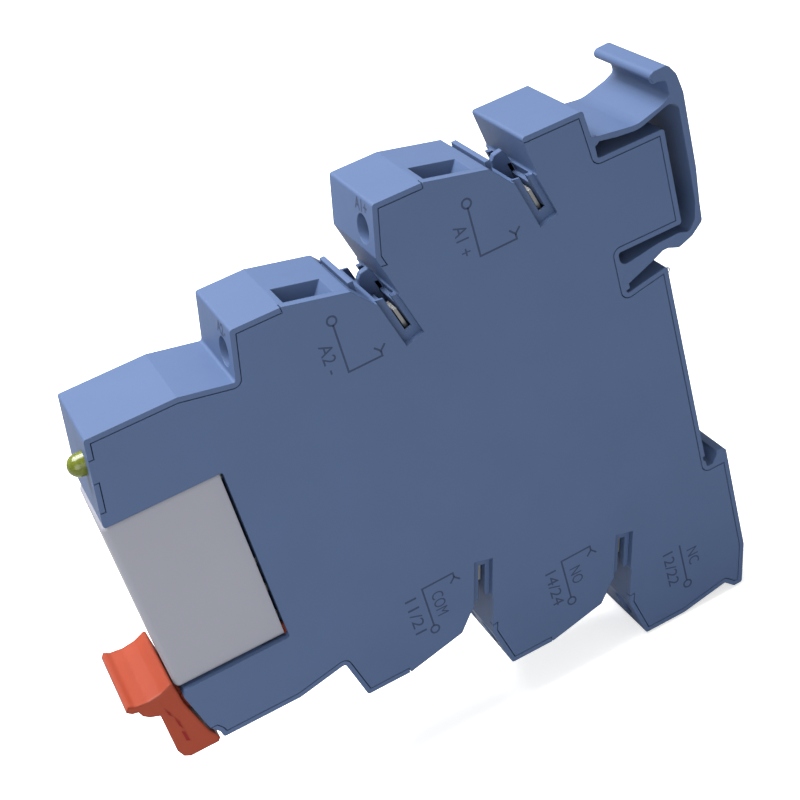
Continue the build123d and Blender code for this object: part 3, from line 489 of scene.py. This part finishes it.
def ring(y, z, radius):
    """A round stroke: y + r cos(a), z + r sin(a)."""
    a = np.linspace(0, 2 * np.pi, RING_POINTS, endpoint=False)
    return ribbon(np.column_stack([y + radius * np.cos(a), z + radius * np.sin(a)]), closed=True)


def contact_sign(start, corner, end, side):
    """A terminal's circle, its line and, where the line turns in, the fork of a plug-in bridge."""
    (y, z), step = start, np.sign(corner[1] - start[1])
    parts = [ring(y, z, RING_RADIUS)]
    line = [(y, z + step * RING_RADIUS), corner]
    if end is None:
        return parts + [ribbon(line)]
    tip = (end[0], end[1] + side * FORK_STEM)
    parts.append(ribbon(line + [end, tip]))
    prong_z = tip[1] + side * FORK_SPREAD
    return parts + [ribbon([(tip[0] - FORK_SPREAD, prong_z), tip, (tip[0] + FORK_SPREAD, prong_z)])]


# %% Places of the signs, as circle, corner, end and side
SIGNS = [
    ((-24.7, 35.7), (-24.7, 28.4), (-19.5, 28.5), 1),
    ((-45.2, 28.9), (-45.2, 21.5), (-40.5, 21.6), 1),
    ((-45.3, -21.1), (-45.3, -13.9), (-40.5, -13.8), -1),
    ((-25.0, -28.1), (-25.0, -20.8), (-20.3, -20.7), -1),
    ((-6.8, -35.6), (-6.8, -28.3), None, -1),
]
ink = moulding("ink", (0.028, 0.042, 0.088), 0.6, 0.12, 0.1)
sign_parts = [part for sign in SIGNS for part in contact_sign(*sign)]
piece("terminal_signs", *joined(sign_parts), "socket", "dark_moulding", ink, smooth=False)

# %% [markdown]
# The terminal numbers. Digits drawn as strokes would take many points, and Blender's own font gives flat outlines
# that become points and faces. A text is measured, moved to the middle of its place, and stretched to its height and
# length there. Only the usual numbers and letters of such terminals are drawn.

# %% Text as points and faces
CURVE_STEPS = 3


def outlined(text, bold):
    """A text's points, less their middle and divided by their height, its faces, and its length over its height."""
    curve = bpy.data.curves.new("letters", "FONT")
    curve.body = text
    curve.resolution_u = CURVE_STEPS
    curve.offset = bold
    holder = bpy.data.objects.new("letters", curve)
    bpy.context.collection.objects.link(holder)
    bpy.context.view_layer.update()
    flat = bpy.data.meshes.new_from_object(holder.evaluated_get(bpy.context.evaluated_depsgraph_get()))
    points = np.empty(3 * len(flat.vertices))
    flat.vertices.foreach_get("co", points)
    points = points.reshape(-1, 3)[:, :2]
    faces = [list(p.vertices) for p in flat.polygons]
    bpy.data.objects.remove(holder)
    bpy.data.curves.remove(curve)
    bpy.data.meshes.remove(flat)
    low, high = points.min(axis=0), points.max(axis=0)
    points = (points - (low + high) / 2) / (high[1] - low[1])
    return points, faces, (high[0] - low[0]) / (high[1] - low[1])


def letters(text, middle, right, up, height, length=None, bold=0.0):
    """A text in millimetres about `middle`: middle + right x first coordinate x length + up x second x height."""
    points, faces, own_length = outlined(text, bold)
    along = (length / own_length) if length else height
    out = np.cross(right, up)
    places = np.asarray(middle) + out * INK_HEIGHT
    places = places + np.outer(points[:, 0] * along, right) + np.outer(points[:, 1] * height, up)
    return places, faces


# %% Numbers on the cover, as text, Y and the Z that each runs from and to
COVER_TEXT_HEIGHT = 1.75
NUMBERS = [
    ("A1 +", -26.4, 33.4, 29.2), ("A2 -", -47.0, 26.4, 22.2), ("COM", -43.5, -15.4, -19.4),
    ("11/21", -47.3, -14.6, -20.6), ("NO", -23.3, -22.8, -25.6), ("14/24", -27.0, -21.6, -27.6),
    ("NC", -5.0, -29.8, -32.6), ("12/22", -8.9, -28.6, -34.6),
]


def cover_number(text, y, z_start, z_end):
    """A text that runs down the cover, its tops towards the rail."""
    middle = (ink_x, y, (z_start + z_end) / 2)
    right, up = np.array([0, 0, -1.0]), np.array([0, 1.0, 0])
    return letters(text, middle, right, up, COVER_TEXT_HEIGHT, abs(z_end - z_start))


number_parts = [cover_number(*number) for number in NUMBERS]

# %% Numbers on the tiers' front walls, as text, tier, side and X
MIRROR_Z, TIER_HALF, TIER_STEP_Y, TIER_STEP_Z = 3.7, 29.7, 21.1, 7.2
FRONT_WALL_Y, WALL_LEAN, WALL_DROP = -57.2, 1.5, 6.6
UNIT_X, LETTER_SHIFT, NUMBER_DROP = 3.45, 0.2, 1.15
WALL_TEXT_HEIGHT, WALL_BOLD = 1.6, 0.018
WALL_NUMBERS = [
    ("A2-", 0, 1, UNIT_X - LETTER_SHIFT), ("A1+", 1, 1, UNIT_X - LETTER_SHIFT),
    ("11", 0, -1, UNIT_X), ("21", 0, -1, -UNIT_X), ("14", 1, -1, UNIT_X), ("24", 1, -1, -UNIT_X),
    ("12", 2, -1, UNIT_X), ("22", 2, -1, -UNIT_X),
]


def wall_number(text, tier, side, x):
    """A number on a leaning front wall: down it by NUMBER_DROP from the edge, and upright along the wall's slope."""
    wall = np.array([WALL_LEAN, WALL_DROP]) / np.hypot(WALL_LEAN, WALL_DROP)
    y = FRONT_WALL_Y + tier * TIER_STEP_Y - WALL_LEAN * NUMBER_DROP / WALL_DROP
    z = MIRROR_Z + side * (TIER_HALF + tier * TIER_STEP_Z - NUMBER_DROP)
    up = np.array([0, side * wall[0], wall[1]])
    return letters(text, (x, y, z), np.array([1.0, 0, 0]), up, WALL_TEXT_HEIGHT, bold=WALL_BOLD)


number_parts += [wall_number(*number) for number in WALL_NUMBERS]
piece("terminal_numbers", *joined(number_parts), "socket", "dark_moulding", ink, smooth=False)

# %% [markdown]
# Ejector marks. Round pins push a moulding out of its tool and leave a fine raised ring where they pressed. A bump
# texture would hold them only in the render, and these stay in the mesh too: a low ridge turned about the pin's axis.

# %% Rings left by the ejector pins
MARK_HEIGHT = 0.035
MARK_WIDTH = 0.09
MARK_ROWS, MARK_POINTS = 7, 36
MARKS = [
    (-6.5, 36.3, 0.6), (-5.9, 16.6, 0.85), (2.2, 18.3, 0.85), (-0.2, 14.9, 0.4), (3.1, 40.7, 0.6), (2.5, -17.1, 0.7),
]


def pin_mark(y, z, radius):
    """A ridge about (y, z): the height is h (1 + cos(pi s)) / 2 at radius + s x width, for s from 1 to -1."""
    a = np.linspace(0, 2 * np.pi, MARK_POINTS, endpoint=False)
    s = np.linspace(1, -1, MARK_ROWS)[:, None]
    r = radius + s * MARK_WIDTH
    height = MARK_HEIGHT * (1 + np.cos(np.pi * s)) / 2 + 0 * a
    points = np.stack([ink_x + height, y + r * np.cos(a), z + r * np.sin(a)], axis=-1)
    return points, grid_faces(MARK_ROWS, MARK_POINTS, close_columns=True)


mark_parts = [pin_mark(*mark) for mark in MARKS]
piece("ejector_marks", *joined(mark_parts), "socket", "housing_plastic", FINISHES["housing_plastic"])

# %% [markdown]
# The notches in the lever's side. Three small pits in a row save plastic in the shank, and their bottoms lie in
# shade. A Boolean would cut them, but the lever's mesh is left alone. So each has a low rim, made of rings of one
# outline drawn in towards its middle, up and down again. The floor inside it is one face of a piece of its own, in a
# deeper red that is painted shade: it stands in for the depth of a pit that isn't cut.

# %% Notches in the ejector lever
lever_face_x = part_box("ejector_lever")[1][0] / MM
NOTCHES = [
    [(-82.72, -12.55), (-82.32, -13.3), (-82.26, -14.05), (-82.6, -13.6)],
    [(-82.1, -14.35), (-81.72, -15.3), (-81.66, -16.6), (-82.0, -15.9)],
    [(-82.05, -16.9), (-81.62, -17.3), (-81.5, -18.95), (-81.95, -18.7)],
]
RIM_RINGS = [(1.34, 0.0), (1.2, 0.08), (1.06, 0.08), (1.0, 0.015)]
FLOOR_RING = [(1.02, 0.012)]


def pit(corners, rings, side, closed=False):
    """Rings of the outline in Y and Z, each (scale, height): middle + scale x (corner - middle), raised by height.

    `closed` spans the last ring with one face. The outlines run clockwise as seen from +X, so the faces on that side
    are turned to point outwards.
    """
    corners = np.asarray(corners)
    middle = corners.mean(axis=0)
    rows = []
    for scale, height in rings:
        y, z = (middle + scale * (corners - middle)).T
        rows.append(np.column_stack([np.full(len(y), side * (lever_face_x + height)), y, z]))
    count = len(corners)
    faces = grid_faces(len(rings), count, close_columns=True).tolist()
    if closed:
        faces.append(list(range((len(rings) - 1) * count, len(rings) * count)))
    return np.stack(rows), turned(faces) if side > 0 else faces


notch_rims = joined([pit(notch, RIM_RINGS, side) for notch in NOTCHES for side in (1, -1)])
# Painted shade: each notch floor is a flat face in a darker red, where a cut pit would lie in shade.
notch_shade_floors = joined([pit(notch, FLOOR_RING, side, closed=True) for notch in NOTCHES for side in (1, -1)])
notch_shade_red = moulding("notch_shade_red", (0.21, 0.006, 0.004), 0.4, 0.1, 0.1)
piece("notch_rims", *notch_rims, "lever", "lever_plastic", FINISHES["lever_plastic"])
piece("notch_shade_floors", *notch_shade_floors, "lever", "lever_plastic", notch_shade_red, smooth=False)

# %% [markdown]
# The ribs of the bridge shafts. A rib in the middle of each gap keeps the near and the far bridge apart. It could be
# an extruded curve, but its outline is known in the shaft's own leaning frame. So the outline is carried across 1 mm
# there, a little smaller at both faces, so that the edges are chamfered as a mould's are.

# %% Middle ribs of the bridge shafts
SHAFT_LEAN = np.radians(15.6)
TIER_TILT = np.radians(13.0)
TIER_FLAT, SLOPE_LENGTH, NOSE_REACH, NOSE_DROP = 6.7, 8.9, 2.5, 3.0
NOSE_Y = TIER_FLAT + SLOPE_LENGTH * np.cos(TIER_TILT) + NOSE_REACH
NOSE_DOWN = SLOPE_LENGTH * np.sin(TIER_TILT) + NOSE_DROP
RIB_HALF, RIB_EDGE = 0.5, 0.12
RIB_OUTLINE = np.array([
    (-0.6, 0.75), (0.2, 0.52), (2.38, 0.52), (2.38, 1.32), (6.08, 1.32), (6.08, 2.28), (2.38, 2.28), (2.38, 2.88),
    (-0.2, 2.88), (-1.0, 2.6), (-1.1, 1.4),
])


def shaft_rib(tier, side):
    """The rib's outline at four places across, and its two flat sides.

    A point (down, across) of the shaft, which leans by t, is down sin t + across cos t further to the rail than the
    shaft's nose, and down cos t - across sin t nearer to the mirror plane. The ribs of the upper side come out facing
    outwards, so those of the lower side, their mirror image, are turned. Neighbouring faces run along their common
    edge in opposite directions, so the first flat side takes its corners backwards.
    """
    inward = RIB_OUTLINE.mean(axis=0) - RIB_OUTLINE
    small = RIB_OUTLINE + RIB_EDGE * inward / np.linalg.norm(inward, axis=1, keepdims=True)
    outlines = (small, RIB_OUTLINE, RIB_OUTLINE, small)
    rows = []
    for x, outline in zip((-RIB_HALF, RIB_EDGE - RIB_HALF, RIB_HALF - RIB_EDGE, RIB_HALF), outlines):
        down, across = outline.T
        y = FRONT_WALL_Y + tier * TIER_STEP_Y + NOSE_Y + down * np.sin(SHAFT_LEAN) + across * np.cos(SHAFT_LEAN)
        h = TIER_HALF + tier * TIER_STEP_Z - NOSE_DOWN - down * np.cos(SHAFT_LEAN) + across * np.sin(SHAFT_LEAN)
        rows.append(np.column_stack([np.full(len(y), x), y, MIRROR_Z + side * h]))
    count = len(RIB_OUTLINE)
    faces = grid_faces(4, count, close_columns=True).tolist()
    faces += [list(range(count))[::-1], list(range(3 * count, 4 * count))]
    return np.stack(rows), faces if side > 0 else turned(faces)


ribs = joined([shaft_rib(tier, side) for tier in (0, 1) for side in (1, -1)])
piece("shaft_ribs", *ribs, "socket", "housing_plastic", FINISHES["housing_plastic"], smooth=False)

# %% [markdown]
# The winding. Enamelled wire lies turn by turn on the bobbin. A wire swept along a helix would hide most of its faces
# between its neighbours, so only the coil's outer skin is made: a surface whose radius rises and falls with each turn
# and shifts by one turn as it goes round. It takes the place of the plain coil and rides on the relay.

# %% The relay's wound coil
WIRE = 0.28
WIRE_SAMPLES = 5
COIL_POINTS = 48
BOBBIN_RADIUS = 2.13


def wound(low, high, outer, inner, middle):
    """A coil of round wire about an upright axis, closed by flat ends down to its inner radius.

    With w the wire's width and s the distance along the axis from the middle of the nearest turn, the radius is
    outer - w / 2 + the root of (w / 2) squared less s squared.
    """
    turns = int((high - low) / WIRE)
    z = np.linspace(low, high, turns * WIRE_SAMPLES + 1)[:, None]
    a = np.linspace(0, 2 * np.pi, COIL_POINTS, endpoint=False)[None, :]
    s = (((z - low) / WIRE - a / (2 * np.pi)) % 1.0 - 0.5) * WIRE
    r = outer - WIRE / 2 + np.sqrt(np.maximum((WIRE / 2) ** 2 - s ** 2, 0))
    end = np.full((1, COIL_POINTS), inner)
    r = np.concatenate([end, r, end])
    z = np.concatenate([z[:1], z, z[-1:]]) + 0 * a
    grid = np.stack([middle[0] + r * np.cos(a), middle[1] + r * np.sin(a), z], axis=-1)
    return grid.reshape(-1, 3), grid_faces(len(z), COIL_POINTS, close_rows=True, close_columns=True)


coil_low, coil_high = (np.array(corner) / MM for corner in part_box("coil_winding"))
coil_middle = (coil_low[:2] + coil_high[:2]) / 2
coil_radius = (coil_high[0] - coil_low[0]) / 2
coil_points, coil_quads = wound(coil_low[2], coil_high[2], coil_radius, BOBBIN_RADIUS, coil_middle)
winding = piece("wound_coil", coil_points, coil_quads, "relay", "copper_wire", FINISHES["copper_wire"])
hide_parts("coil_winding")
